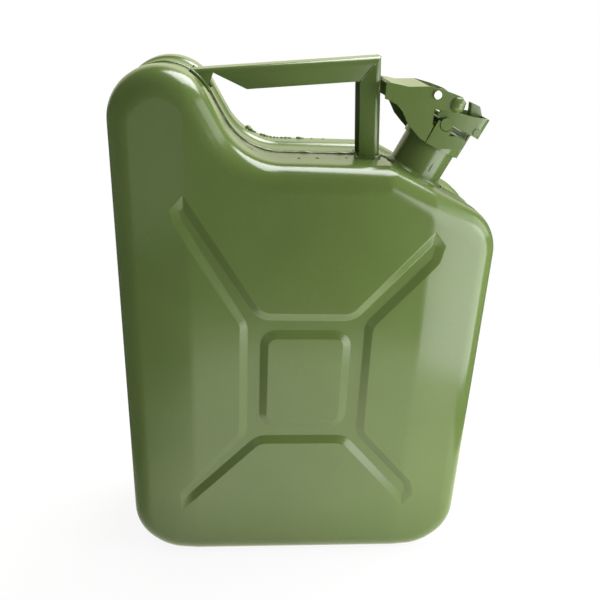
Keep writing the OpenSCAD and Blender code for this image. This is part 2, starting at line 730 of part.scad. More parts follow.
function tube_ring(e, r) = [
    for (i = [0:vent_sides - 1])
        let (a = 360 * i / vent_sides, p = e[0] + e[1] * r * cos(a)) [p[0], -r * sin(a), p[1]]
];
module vent_tube() color(zinc) {
    n = vent_sides;
    m = len(vent_line);
    points = concat(
        [for (e = vent_line) each tube_ring(e, vent_r)], [for (e = vent_line) each tube_ring(e, vent_r - vent_t)]
    );
    last = (m - 1) * n;
    polyhedron(points = points, convexity = 8, faces = concat(
        ring_faces(0, n, m),
        [for (f = ring_faces(m * n, n, m)) reversed(f)],
        [for (i = [0:n - 1]) [i, m * n + i, m * n + (i + 1) % n, (i + 1) % n]],
        [for (i = [0:n - 1]) [last + (i + 1) % n, last + m * n + (i + 1) % n, last + m * n + i, last + i]]
    ));
}
module vent_clip() color(zinc) translate([clip_x, 0, 0]) rotate([90, 0, 90]) linear_extrude(clip_w, center = true) {
    in_r = vent_r + seat;
    out_r = in_r + clip_t;
    low = vent_level - out_r;
    roof = waist_z - band_d - sheet_t - seat;
    polygon([
        [-in_r, low + clip_t + clip_soft], [-in_r, roof], [-clip_foot, roof], [-clip_foot, roof - clip_t],
        [-out_r, roof - clip_t], [-out_r, low + clip_soft], [-out_r + clip_soft, low],
        [out_r - clip_soft, low], [out_r, low + clip_soft], [out_r, roof - clip_t],
        [clip_foot, roof - clip_t], [clip_foot, roof], [in_r, roof], [in_r, low + clip_t + clip_soft],
        [in_r - clip_soft, low + clip_t], [-in_r + clip_soft, low + clip_t]
    ]);
}

front_shell();
back_shell();
seam_weld();
handle_bar();
handle_leg();
mitre_weld();
hump_weld();
foot_weld();
filler_neck();
neck_weld();
neck_collar();
vent_tube();
vent_clip();
hinge_pins();
cap_bail();
bail_lug();
cap_cover();
cap_gasket();
gasket_plate();
cap_rivet();
cap_trunnions();
cap_lever();
pivot_pin();
pivot_spacers();
press_pin();
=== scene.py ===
import json
import math

import bmesh
import bpy
from bpy.props import FloatProperty, FloatVectorProperty, PointerProperty
from mathutils import Matrix, Vector, noise

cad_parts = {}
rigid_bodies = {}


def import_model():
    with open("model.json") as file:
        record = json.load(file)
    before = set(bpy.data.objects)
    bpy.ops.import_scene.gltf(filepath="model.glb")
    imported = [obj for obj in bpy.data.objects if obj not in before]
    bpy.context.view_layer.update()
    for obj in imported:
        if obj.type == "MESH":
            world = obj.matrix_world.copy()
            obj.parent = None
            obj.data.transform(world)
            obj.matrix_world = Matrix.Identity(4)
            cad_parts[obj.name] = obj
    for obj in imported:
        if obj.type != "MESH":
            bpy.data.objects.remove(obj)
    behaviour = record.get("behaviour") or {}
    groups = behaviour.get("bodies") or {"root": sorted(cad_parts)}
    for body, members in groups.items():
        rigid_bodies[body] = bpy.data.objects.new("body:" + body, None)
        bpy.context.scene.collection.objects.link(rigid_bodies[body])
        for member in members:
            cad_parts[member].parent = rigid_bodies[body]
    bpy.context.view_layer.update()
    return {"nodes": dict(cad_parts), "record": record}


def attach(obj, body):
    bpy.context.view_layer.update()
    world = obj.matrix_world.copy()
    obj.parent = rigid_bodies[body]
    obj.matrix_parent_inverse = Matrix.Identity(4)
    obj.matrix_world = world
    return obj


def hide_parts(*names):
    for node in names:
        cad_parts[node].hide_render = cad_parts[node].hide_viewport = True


bl_info = {
    "name": "Pressed steel fuel can",
    "version": (1, 0, 0),
    "blender": (4, 5, 0),
    "location": "View3D > Sidebar > Fuel can",
    "description": "Builds a painted fuel can with its cap and cam lever, and the studio it stands in",
    "category": "Add Mesh",
}

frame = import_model()
BODY_OF = {node: body for body, nodes in frame["record"]["behaviour"]["bodies"].items() for node in nodes}
SLOT_OF = {part["node"]: part["material_slot"] for part in frame["record"]["subparts"]}
MM = 0.001


# Sizes and colours a user would change

def length(name, description, default):
    return FloatProperty(name=name, description=description, default=default, unit="LENGTH", precision=4)


def colour(name, description, default):
    return FloatVectorProperty(
        name=name, description=description, default=default, subtype="COLOR", size=3, min=0, max=1
    )


class FuelCanSizes(bpy.types.PropertyGroup):
    body_w: length("Body width", "Width of the can across its narrow sides", 0.270)
    body_d: length("Body depth", "Depth of the can between its two panels", 0.126)
    hump_z: length("Hump height", "Height of the hump at the handle's low end", 0.388)
    waist_z: length("Waist height", "Height of the level part under the handle", 0.329)
    edge_r: length("Rolled edge", "Radius of the rolled edge round each panel", 0.018)
    band_d: length("Band depth", "How far the band lies inside the rims", 0.0018)
    press_depth: length("Pressing depth", "Depth of the pressed cross", 0.0028)
    press_wall: length("Pressing wall", "Width of the sloping wall of the cross", 0.0070)
    crease_x: length("Crease", "Distance of the vertical creases from the middle", 0.083)
    crease_drop: length("Side fall", "How far a side band falls back at the can's side", 0.005)
    bead_w: length("Seam width", "Width of the seam weld", 0.0056)
    bead_h: length("Seam height", "Height of the seam weld above the band", 0.0011)
    lump: length("Seam lumps", "Height of the lumps in the seam weld", 0.0011)


class FuelCanColours(bpy.types.PropertyGroup):
    paint: colour("Paint", "Gloss paint of the can", (0.070, 0.107, 0.025))
    paint_thin: colour("Thin paint", "Specks where the paint has dried pale", (0.110, 0.145, 0.060))
    zinc: colour("Zinc", "Bare zinc of the small pin and the breather tube", (0.74, 0.75, 0.71))
    rubber: colour("Rubber", "Gasket under the cover", (0.018, 0.018, 0.018))
    floor: colour("Floor", "Studio floor", (0.80, 0.80, 0.79))


def sizes():
    return bpy.context.scene.fuel_can_sizes


def colours():
    return bpy.context.scene.fuel_can_colours


# Sizes of the can's outline and sheet, as the solids have them

FOOT_R = 40 * MM
SHOULDER_R = 35 * MM
SHOULDER_Z = 268 * MM
SLOPE_END_R = 20 * MM
WAIST_R = 45 * MM
HUMP_R = 35 * MM
HUMP_TURN = math.radians(60.6)
HUMP_CLEAR = 0.1 * MM
SLOPE_TILT = math.radians(26)
SLOPE = Vector((math.sin(SLOPE_TILT), math.cos(SLOPE_TILT)))
SHEET = 1 * MM

# The step from the band up to the rim: shares of its run, and of the band's depth that is left
RIM_Y = 24.5 * MM
RIM_RUN = 6 * MM
RIM_SHARES = ((0, 1), (0.15, 0.96), (0.3, 0.8), (0.5, 0.5), (0.7, 0.2), (0.85, 0.04), (1, 0))
ROLL_STEPS = 14

# The pressing: corners as x, height over its middle and radius, in millimetres
PRESS_Z = 169.5 * MM
CROSS = [
    (49, -45, 11), (49, 45, 11), (92, 94.9, 9), (95, 108, 0), (86, 118.8, 0), (32, 56, 11), (-32, 56, 11),
    (-86, 141.2, 0), (-96, 130, 0), (-94, 120.4, 9), (-49, 45, 11), (-49, -45, 11), (-96, -103, 8),
    (-96, -123, 0), (-32, -56, 11), (32, -56, 11), (86, -118.4, 0), (95, -108, 0), (92, -93.9, 9),
]
PAD = [(-34, -42, 13), (34, -42, 13), (34, 42, 13), (-34, 42, 13)]
PAD_DROP = 0.5 * MM
PRESS_REACH = 100 * MM
PRESS_LOW, PRESS_HIGH = 30 * MM, 340 * MM
PRESS_ARC = 9
WALL_ROUND_SHARE = 0.14

CREASE_SOFT = 2.5 * MM
CREASE_CUT_SHARES = (-1, -0.48, 0, 0.48, 1)

# The filler neck: where its axis meets the slope, its hole and the flange the hole is cut in
NECK_X = 80.8 * MM
NECK_LIFT = 2.3 * MM
HOLE_R = 20.3 * MM
HOLE_STEPS = 36
FLANGE_W = 26 * MM

# Distances under which points or planes count as one
TINY = 1e-6
SMALL = 1e-5
ARC_MERGE = 0.4 * MM
SLOPE_NEAR = 0.1 * MM

# How closely a face's normal has to follow the slope's, as the cosine of the angle between them
SLOPE_ALONG = 0.9999


# Outlines

def corner(a, b, c, r):
    """Start, centre and signed turn of the arc that rounds corner b."""
    u1 = (b - a).normalized()
    u2 = (c - b).normalized()
    turn = math.atan2(u1.x * u2.y - u1.y * u2.x, u1.dot(u2))
    start = b - u1 * r * math.tan(abs(turn) / 2)
    centre = start - Vector((u1.y, -u1.x)) * r * math.copysign(1, turn)
    return start, centre, turn


def once(items):
    """The items without repeats, in their own order, so that every run gives the same mesh."""
    return list(dict.fromkeys(items))


def last_vert(made):
    return next(g for g in made["geom_last"] if isinstance(g, bmesh.types.BMVert))


def outline(bm, corners, y, arc=5.0):
    """Face of a rounded outline in a plane across Y, facing the front.

    Corners are (x, z, radius) in metres, and arc is the degrees that one step of a rounding takes.
    """
    known = set(bm.faces)
    known_verts = set(bm.verts)
    points = [Vector(c[:2]) for c in corners]
    first = last = None
    for i, b in enumerate(points):
        r = corners[i][2]
        start, centre, turn = corner(points[i - 1], b, points[(i + 1) % len(points)], r)
        v = bm.verts.new((start.x, y, start.y))
        if last:
            bm.edges.new((last, v))
        first = first or v
        last = v
        if r > 0:
            made = bmesh.ops.spin(
                bm, geom=[v], cent=(centre.x, y, centre.y), axis=(0, 1, 0), angle=-turn,
                steps=max(2, math.ceil(abs(math.degrees(turn)) / arc)), use_merge=False, use_duplicate=False,
            )
            last = last_vert(made)
    bm.edges.new((last, first))
    bmesh.ops.remove_doubles(bm, verts=[v for v in bm.verts if v not in known_verts], dist=ARC_MERGE)
    loop = once(e for v in bm.verts if v not in known_verts for e in v.link_edges)
    bmesh.ops.edgeloop_fill(bm, edges=loop)
    face = next(f for f in bm.faces if f not in known)
    face.normal_update()
    if face.normal.y > 0:
        face.normal_flip()
    return face


def step(bm, face, inset, depth):
    """Grows a ring inside a face, inset in its plane and depth along its normal, and returns the ring."""
    face.normal_update()
    made = bmesh.ops.inset_region(
        bm, faces=[face], thickness=inset, depth=depth, use_boundary=True, use_even_offset=True
    )
    return made["faces"]


def run(bm, face, stations, start=(0.0, 0.0)):
    """Steps a face through stations of (inset, depth), both counted from the start."""
    rings = []
    for inset, depth in stations:
        rings += step(bm, face, inset - start[0], depth - start[1])
        start = (inset, depth)
    return rings


def drop(bm, faces):
    bmesh.ops.delete(bm, geom=list(faces), context="FACES")


def fill_between(bm, outer, inner):
    """Replaces a face by triangles between its edge and an inner loop of edges."""
    edges = list(outer.edges)
    bmesh.ops.delete(bm, geom=[outer], context="FACES_ONLY")
    bmesh.ops.triangle_fill(bm, use_beauty=True, use_dissolve=False, edges=edges + inner, normal=(0, -1, 0))


def outer_loop(rings, inside):
    """Open edges of rings of faces, without the edges of the face inside them."""
    loose = once(e for f in rings for e in f.edges if len(e.link_faces) == 1)
    return [e for e in loose if e not in inside.edges]


def slope_reach():
    """Distance of the slope's line from the origin."""
    return Vector((sizes().body_w / 2 - SHOULDER_R, SHOULDER_Z)).dot(SLOPE) + SHOULDER_R


def can_corners():
    """The can's outline from its left foot, as x, z and radius."""
    s = sizes()
    half = s.body_w / 2
    hump_x = -half + HUMP_R * (1 + math.tan(HUMP_TURN / 2)) + HUMP_CLEAR
    return [
        (-half, 0, FOOT_R), (half, 0, FOOT_R),
        (half, (slope_reach() - half * SLOPE.x) / SLOPE.y, SHOULDER_R),
        ((slope_reach() - s.waist_z * SLOPE.y) / SLOPE.x, s.waist_z, SLOPE_END_R),
        (hump_x + (s.hump_z - s.waist_z) / math.tan(HUMP_TURN), s.waist_z, WAIST_R),
        (hump_x, s.hump_z, HUMP_R), (-half, s.hump_z, HUMP_R),
    ]


# The pressed halves

def on_press(corners):
    return [(x * MM, z * MM + PRESS_Z, r * MM) for x, z, r in corners]


def wall_shares():
    """Steps along a sloping wall: four in each of its small rounds and three on the flat between."""
    rounds = [WALL_ROUND_SHARE * k / 4 for k in range(1, 5)]
    flats = [WALL_ROUND_SHARE + (1 - 2 * WALL_ROUND_SHARE) * k / 3 for k in range(1, 4)]
    return rounds + flats + [1 - r for r in reversed(rounds[:-1])] + [1]


def wall(width, height):
    """Stations of a flat sloping wall with a small round along its two edges."""
    soft = WALL_ROUND_SHARE
    rate = 1 / (1 - soft)
    stations = []
    for t in wall_shares():
        if t <= soft:
            share = rate * t * t / (2 * soft)
        elif t <= 1 - soft:
            share = rate * (t - soft / 2)
        else:
            share = 1 - rate * (1 - t) ** 2 / (2 * soft)
        stations.append((width * t, height * share))
    return stations


def fall(x):
    """How far the panel falls back at x, with a soft crease."""
    s = sizes()
    rate = s.crease_drop / (s.body_w / 2 - s.crease_x)
    past = min(abs(x), s.body_w / 2 - s.edge_r) - s.crease_x
    if past <= -CREASE_SOFT:
        return 0.0
    if past >= CREASE_SOFT:
        return rate * past
    return rate * (past + CREASE_SOFT) ** 2 / (4 * CREASE_SOFT)


def neck_frame():
    """Origin and turn of the filler neck: z along its axis, x down the slope."""
    z = (slope_reach() - sizes().band_d - NECK_X * SLOPE.x) / SLOPE.y + NECK_LIFT
    return Matrix.Translation((NECK_X, 0, z)) @ Matrix.Rotation(SLOPE_TILT, 4, "Y")


def neck_foot():
    """Point where the neck's axis meets the band of the slope."""
    return neck_frame() @ Vector((0, 0, -NECK_LIFT * SLOPE.y))


def half_can(bm):
    """Front half of the can: band, rim, rolled edge and the panel with its pressed cross."""
    s = sizes()
    face = outline(bm, can_corners(), 0.0)
    band_and_edge(bm, face)
    front = -s.body_d / 2
    cross = outline(bm, on_press(CROSS), front, PRESS_ARC)
    cross_wall = run(bm, cross, [(inset, -depth) for inset, depth in wall(s.press_wall, s.press_depth)])
    pad = outline(bm, on_press(PAD), front + s.press_depth, PRESS_ARC)
    pad_wall = run(bm, pad, wall(s.press_wall, s.press_depth - PAD_DROP))
    fill_between(bm, face, outer_loop(cross_wall, cross))
    fill_between(bm, cross, outer_loop(pad_wall, pad))
    bmesh.ops.remove_doubles(bm, verts=bm.verts, dist=TINY)
    fold_sides(bm)
    open_neck(bm)


def band_and_edge(bm, face):
    """Takes a face from the seam plane along the band, up to the rim and round the rolled edge."""
    s = sizes()
    edge = s.edge_r
    flat = s.body_d / 2
    drop(bm, step(bm, face, s.band_d, 0))
    rise = [(s.band_d * left, RIM_Y + RIM_RUN * along) for along, left in RIM_SHARES]
    run(bm, face, rise + [(0, flat - edge)], (s.band_d, 0))
    turns = [math.pi / 2 * k / ROLL_STEPS for k in range(1, ROLL_STEPS + 1)]
    roll = [(edge * (1 - math.cos(t)), flat - edge + edge * math.sin(t)) for t in turns]
    run(bm, face, roll, (0, flat - edge))


def fold_sides(bm):
    """Creases the panel and lets its two side bands fall back."""
    s = sizes()
    flat = s.body_d / 2
    for side in (-1, 1):
        for share in CREASE_CUT_SHARES:
            bmesh.ops.bisect_plane(
                bm, geom=bm.verts[:] + bm.edges[:] + bm.faces[:], dist=TINY,
                plane_co=(side * (s.crease_x + share * CREASE_SOFT), 0, 0), plane_no=(1, 0, 0),
            )
    for v in bm.verts:
        out = -v.co.y
        if out < flat - s.edge_r - SMALL:
            continue
        share = 1.0
        pressed = abs(v.co.x) < PRESS_REACH and PRESS_LOW < v.co.z < PRESS_HIGH and out < flat - SMALL
        if pressed:
            share = max(0.0, 1 - (flat - out) / s.press_depth)
        v.co.y += fall(v.co.x) * share


def edges_from(start):
    """Every edge that hangs together with a vertex, from the nearest on."""
    found = []
    stack = [start]
    while stack:
        v = stack.pop()
        for e in v.link_edges:
            if e not in found:
                found.append(e)
                stack.append(e.other_vert(v))
    return found


def open_neck(bm):
    """Cuts the half hole of the filler neck in the band of the slope."""
    foot = neck_foot()
    up = Vector((SLOPE.x, 0, SLOPE.y))
    low = Vector((SLOPE.y, 0, -SLOPE.x))

    def on_slope(f):
        middle = f.calc_center_median()
        level = f.normal.dot(up) > SLOPE_ALONG and abs((middle - foot).dot(up)) < SLOPE_NEAR
        return level and -FLANGE_W < middle.y < 0

    flats = [f for f in bm.faces if on_slope(f)]
    if not flats:
        raise RuntimeError("The band on the slope wasn't found")
    around = once(e for f in flats for e in f.edges if len([g for g in e.link_faces if g in flats]) == 1)
    bmesh.ops.delete(bm, geom=flats, context="FACES_ONLY")
    seam = [e for e in around if e.is_valid and all(abs(v.co.y) < TINY for v in e.verts)]
    ends = sorted(once(v for e in seam for v in e.verts), key=lambda v: v.co.x)
    start = bm.verts.new(foot - low * HOLE_R)
    made = bmesh.ops.spin(
        bm, geom=[start], cent=foot, axis=up, angle=math.pi, steps=HOLE_STEPS, use_merge=False,
        use_duplicate=False,
    )
    last = last_vert(made)
    arc = edges_from(start)
    if min(v.co.y for e in arc for v in e.verts) > -HOLE_R / 2:
        raise RuntimeError("The hole of the neck was drawn in the wrong half")
    bmesh.ops.delete(bm, geom=seam, context="EDGES")
    links = [bm.edges.new((ends[0], start)), bm.edges.new((last, ends[-1]))]
    rest = [e for e in around if e.is_valid]
    bmesh.ops.triangle_fill(
        bm, use_beauty=True, use_dissolve=False, edges=rest + arc + links, normal=up
    )


# Finished objects

BEVEL_STEPS = 3
SHARP = math.radians(28)
NEARLY_FLAT = math.radians(1)
NORMAL_WEIGHT = 60


def finish_mesh(bm, name, body, material, replaced=(), outward=False):
    if outward:
        bmesh.ops.recalc_face_normals(bm, faces=bm.faces)
    mesh = bpy.data.meshes.new(name)
    bm.to_mesh(mesh)
    bm.free()
    for p in mesh.polygons:
        p.use_smooth = True
    mesh.materials.append(material)
    piece = bpy.data.objects.new(name, mesh)
    bpy.context.scene.collection.objects.link(piece)
    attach(piece, body)
    if replaced:
        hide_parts(*replaced)
    return piece


def even_normals(piece):
    mod = piece.modifiers.new("Even shading", "WEIGHTED_NORMAL")
    mod.weight = NORMAL_WEIGHT
    mod.keep_sharp = True


def refine(node, name, bevel, segments=BEVEL_STEPS, pillow=False):
    """A finished copy of a CAD node: merged, with its sharp edges rounded and its faces smooth.

    A pillowed piece keeps plain normals, so that its flat faces shade as slightly crowned.
    """
    bm = bmesh.new()
    bm.from_mesh(frame["nodes"][node].data)
    bmesh.ops.remove_doubles(bm, verts=bm.verts, dist=SMALL)
    bmesh.ops.dissolve_limit(bm, angle_limit=NEARLY_FLAT, verts=bm.verts, edges=bm.edges)
    if bevel:
        sharp = [e for e in bm.edges if len(e.link_faces) == 2 and e.calc_face_angle(0) > SHARP]
        bmesh.ops.bevel(
            bm, geom=sharp, offset=bevel, offset_type="OFFSET", segments=segments, profile=0.5,
            affect="EDGES", clamp_overlap=True, material=-1, loop_slide=True,
        )
    slot = SLOT_OF[node]
    piece = finish_mesh(bm, name, BODY_OF[node], material(slot), (node,))
    if not pillow:
        even_normals(piece)


def refine_all(pieces):
    """Finishes the CAD nodes of one group: node, name of the piece and bevel in millimetres."""
    for node, name, bevel in pieces:
        refine(node, name, bevel * MM)


# Materials

class Socket:
    """A shader value that maths can be written with."""

    def __init__(self, tree, socket):
        self.tree = tree
        self.socket = socket

    def maths(self, operation, *values):
        node = self.tree.nodes.new("ShaderNodeMath")
        node.operation = operation
        for place, value in zip(node.inputs, values):
            plug(self.tree, place, value)
        return Socket(self.tree, node.outputs[0])

    def __add__(self, other):
        return self.maths("ADD", self, other)

    __radd__ = __add__

    def __sub__(self, other):
        return self.maths("SUBTRACT", self, other)

    def __rsub__(self, other):
        return self.maths("SUBTRACT", other, self)

    def __mul__(self, other):
        return self.maths("MULTIPLY", self, other)

    __rmul__ = __mul__

    def __truediv__(self, other):
        return self.maths("DIVIDE", self, other)

    def __rtruediv__(self, other):
        return self.maths("DIVIDE", other, self)

    def root(self, order):
        return self.maths("POWER", self, 1 / order)


def plug(tree, socket, value):
    if isinstance(value, Socket):
        tree.links.new(value.socket, socket)
    else:
        socket.default_value = value


class Shader:
    """Node tree of a material or a world, with one method that makes any node."""

    def __init__(self, owner, output="ShaderNodeOutputMaterial"):
        self.owner = owner
        owner.use_nodes = True
        self.tree = owner.node_tree
        self.tree.nodes.clear()
        self.out = self.tree.nodes.new(output)

    def node(self, kind, output=0, settings=None, **values):
        """Output of a new node. Keys name its sockets, with _ for a space, or count them as i0, i1."""
        node = self.tree.nodes.new(kind)
        for key, value in (settings or {}).items():
            if key == "stops":
                ramp = node.color_ramp
                ramp.elements[0].position, ramp.elements[0].color = value[0]
                ramp.elements[1].position, ramp.elements[1].color = value[-1]
            else:
                setattr(node, key, value)
        for key, value in values.items():
            counted = key.startswith("i") and key[1:].isdigit()
            plug(self.tree, node.inputs[int(key[1:]) if counted else key.replace("_", " ")], value)
        return Socket(self.tree, node.outputs[output])

    def place(self):
        return self.node("ShaderNodeTexCoord", "Object")

    def noise(self, scale, detail, rough=0.5):
        return self.node(
            "ShaderNodeTexNoise", 0, None, Vector=self.place(), Scale=scale, Detail=detail, Roughness=rough
        )

    def ramp(self, value, low, high):
        """Takes a value from one (place, level) to another, and holds it beyond them."""
        stops = [(place, grey(level)) for place, level in (low, high)]
        return self.node("ShaderNodeValToRGB", 0, {"stops": stops}, Fac=value)

    def mix(self, share, a, b):
        return self.node("ShaderNodeMix", 2, {"data_type": "RGBA"}, i0=share, i6=a, i7=b)

    def mix_shader(self, share, a, b):
        return self.node("ShaderNodeMixShader", 0, None, i0=share, i1=a, i2=b)

    def bump(self, height, distance, strength, normal=None):
        values = {"Height": height, "Distance": distance, "Strength": strength}
        if normal:
            values["Normal"] = normal
        return self.node("ShaderNodeBump", 0, None, **values)

    def finish(self, shade):
        self.tree.links.new(shade.socket, self.out.inputs[0])
        return self.owner

    def surface(self, **values):
        return self.finish(self.node("ShaderNodeBsdfPrincipled", 0, None, **values))


def grey(level):
    return (level, level, level, 1)


def rgba(c, k=1.0):
    return (c[0] * k, c[1] * k, c[2] * k, 1)


def gloss_paint():
    """Olive paint: cloudy tone, pale specks, orange peel and a slight wave of the sheet."""
    m = Shader(bpy.data.materials.new("gloss olive paint"))
    c = colours()
    cloud = m.noise(scale=9.0, detail=3.0, rough=0.55)
    speck = m.noise(scale=900.0, detail=2.0, rough=0.6)
    peel = m.noise(scale=430.0, detail=2.0)
    wave = m.noise(scale=22.0, detail=2.0, rough=0.4)
    tone = m.ramp(cloud, (0.35, 0.0), (0.65, 1.0))
    base = m.mix(tone, rgba(c.paint, 0.94), rgba(c.paint, 1.07))
    base = m.mix(m.ramp(speck, (0.62, 0.0), (0.72, 0.5)), base, rgba(c.paint_thin))
    rough = m.ramp(cloud, (0.3, 0.16), (0.7, 0.24))
    broad = m.bump(wave, distance=0.6 * MM, strength=0.35)
    normal = m.bump(peel, distance=0.06 * MM, strength=0.35, normal=broad)
    return m.surface(Base_Color=base, Roughness=rough, Normal=normal)


def bare_zinc():
    m = Shader(bpy.data.materials.new("bare zinc"))
    c = colours()
    grain = m.noise(scale=300.0, detail=4.0, rough=0.7)
    return m.surface(
        Base_Color=m.mix(grain, rgba(c.zinc, 0.8), rgba(c.zinc, 1.15)),
        Roughness=m.ramp(grain, (0.3, 0.38), (0.7, 0.6)), Metallic=1.0,
        Normal=m.bump(grain, distance=0.2 * MM, strength=0.4),
    )


def gasket_rubber():
    m = Shader(bpy.data.materials.new("gasket rubber"))
    c = colours()
    grain = m.noise(scale=500.0, detail=3.0, rough=0.6)
    return m.surface(
        Base_Color=m.mix(grain, rgba(c.rubber), rgba(c.rubber, 2.0)),
        Roughness=m.ramp(grain, (0.3, 0.55), (0.7, 0.75)),
        Normal=m.bump(grain, distance=0.2 * MM, strength=0.5),
    )


MAKERS = {"paint": gloss_paint, "zinc": bare_zinc, "rubber": gasket_rubber}
MATERIALS = {}


def material(slot):
    if slot not in MATERIALS:
        MATERIALS[slot] = MAKERS[slot]()
    return MATERIALS[slot]


# Halves and seam

class FUELCAN_OT_halves(bpy.types.Operator):
    """Build the two pressed halves of the can"""

    bl_idname = "fuelcan.halves"
    bl_label = "Can halves"

    def execute(self, context):
        for node, name in (("front_shell", "front_half"), ("back_shell", "back_half")):
            bm = bmesh.new()
            half_can(bm)
            if name == "back_half":
                bmesh.ops.scale(bm, vec=(1, -1, 1), verts=bm.verts)
                bmesh.ops.reverse_faces(bm, faces=bm.faces)
            piece = finish_mesh(bm, name, "can", material("paint"), (node,))
            sheet = piece.modifiers.new("Sheet", "SOLIDIFY")
            sheet.thickness = SHEET
            sheet.offset = -1
            even_normals(piece)
        return {"FINISHED"}


SEAM_ARC = 4
SEAM_STEPS = 12
SEAM_LENGTH = 2.2 * MM
SEAM_HALVINGS = 8
NECK_CLEAR = 23.8 * MM
CAN_MIDDLE = Vector((0, 0, 180 * MM))

# The waist, where the seam is at its most ragged, fades in from these places over this length
WAIST_LOW, WAIST_LEFT, WAIST_FADE = 300 * MM, -70 * MM, 20 * MM

# Noise frequencies of the bead's lumps, its grain and its wandering, and the place of each in the noise
LUMPS, GRAINS, WANDERS = 260, 700, 330
LUMP_PLACE, GRAIN_PLACE, WANDER_PLACE = 0.02, 0.5, 1.5

# Share of the lumps' height that is there away from the waist, and the share that the waist adds
LUMP_SHARE, WAIST_LUMP_SHARE = 0.25, 0.9

# How far the edge wanders, and the share of it away from the waist
WANDER, WANDER_SHARE = 0.8 * MM, 0.4

# Grain against the lumps it lies on, and how much of both shows on the crest
GRAIN_SHARE, CREST_SHARE = 0.5, 0.6


def waviness(v, place, frequency):
    return noise.noise(Vector((v.co.x, place, v.co.z)) * frequency)


def waist_share(v):
    height = max(0.0, min(1.0, (v.co.z - WAIST_LOW) / WAIST_FADE))
    side = max(0.0, min(1.0, (v.co.x - WAIST_LEFT) / WAIST_FADE))
    return height * side


class FUELCAN_OT_seam(bpy.types.Operator):
    """Lay the seam weld between the halves, with its lumps"""

    bl_idname = "fuelcan.seam"
    bl_label = "Seam weld"

    def execute(self, context):
        bm = bmesh.new()
        self.even_bead(bm)
        self.divide(bm)
        foot = neck_foot()
        near = [v for v in bm.verts if (Vector((v.co.x, 0, v.co.z)) - foot).length < NECK_CLEAR]
        bmesh.ops.delete(bm, geom=near, context="VERTS")
        self.roughen(bm)
        finish_mesh(bm, "seam_bead", "can", material("paint"), ("seam_weld",), outward=True)
        return {"FINISHED"}

    @staticmethod
    def even_bead(bm):
        """Low round bead along the whole outline."""
        s = sizes()
        half = s.bead_w / 2
        face = outline(bm, can_corners(), half, SEAM_ARC)
        drop(bm, step(bm, face, s.band_d, 0))
        turns = [math.pi * k / SEAM_STEPS for k in range(1, SEAM_STEPS + 1)]
        section = [(s.band_d - s.bead_h * math.sin(t), half * (1 - math.cos(t))) for t in turns]
        run(bm, face, section, (s.band_d, 0))
        drop(bm, [face])
        bmesh.ops.remove_doubles(bm, verts=bm.verts, dist=TINY / 10)

    @staticmethod
    def divide(bm):
        """Halves the edges along the bead until they are short enough for its lumps."""
        for _ in range(SEAM_HALVINGS):
            along = [e for e in bm.edges if abs(e.verts[0].co.y - e.verts[1].co.y) < TINY]
            long = [e for e in along if e.calc_length() > SEAM_LENGTH]
            if not long:
                break
            bmesh.ops.subdivide_edges(bm, edges=long, cuts=1, use_grid_fill=True)

    @staticmethod
    def roughen(bm):
        """Lumps on the bead's crest and a wandering edge, stronger along the waist."""
        s = sizes()
        half = s.bead_w / 2
        for v in bm.verts:
            waist = waist_share(v)
            size = s.lump * (LUMP_SHARE + WAIST_LUMP_SHARE * waist)
            lumps = waviness(v, LUMP_PLACE, LUMPS) + GRAIN_SHARE * waviness(v, GRAIN_PLACE, GRAINS)
            out = (Vector((v.co.x, 0, v.co.z)) - CAN_MIDDLE).normalized()
            crest = max(0.0, 1 - (v.co.y / half) ** 2)
            v.co += out * (lumps * size * CREST_SHARE * crest)
            v.co.y += WANDER * waviness(v, WANDER_PLACE, WANDERS) * (WANDER_SHARE + waist)


# Drops of weld on the rims and the band: x, y and radius, in millimetres
SPATTER = [
    (-43.0, 44.5, 2.7), (-40.6, 44.5, 1.7), (-38.0, 45, 1.1), (-33.0, 45, 1.2), (-30.6, 45, 1.5),
    (-28.0, 45, 1.2), (-25.4, 45, 1.0), (-22.6, 45, 1.1), (-19.8, 45, 0.9), (-16.8, 45, 1.0),
    (-13.6, 45, 1.2), (-10.8, 45, 1.0), (-3.2, 45, 1.6), (-0.8, 45, 1.0), (7, 45, 0.6), (16, 45, 0.7),
    (-43, -24, 1.7), (-39, -26, 1.5), (-41, -19, 0.9), (-20, -24, 0.8), (-8, -30, 0.7), (6, -20, 0.8),
    (20, -28, 0.7), (27, -16, 0.6),
]
# Drops at the neck's foot: angle round the neck in degrees and radius in millimetres
NECK_DROPS = [(-124, 0.8), (-112, 0.7), (-103, 0.9), (-92, 0.7), (-84, 0.9), (-73, 0.7), (-64, 0.8)]
DROP_SHAPE = Matrix.Diagonal((1.5, 1.1, 0.75, 1))
DROP_PLACE = Matrix.Translation((21.6 * MM, 0, -0.4 * MM))
DRIP_SHAPE = Matrix.Diagonal((0.8, 0.8, 4.2, 1))
DRIP_PLACE = Matrix.Translation((19.7 * MM, 0, 8.5 * MM))
DRIP_ANGLE, DRIP_R = -78, 0.9 * MM
DROP_LUMPS, DROP_ROUGHNESS = 900, 0.35
ABOVE = 500 * MM


def lay_drop(bm, place, r):
    made = bmesh.ops.create_icosphere(bm, subdivisions=3, radius=r, matrix=place)
    middle = place.translation
    for v in made["verts"]:
        v.co += (v.co - middle) * DROP_ROUGHNESS * noise.noise(v.co * DROP_LUMPS + middle / MM)


def round_neck(angle):
    return neck_frame() @ Matrix.Rotation(math.radians(angle), 4, "Z")


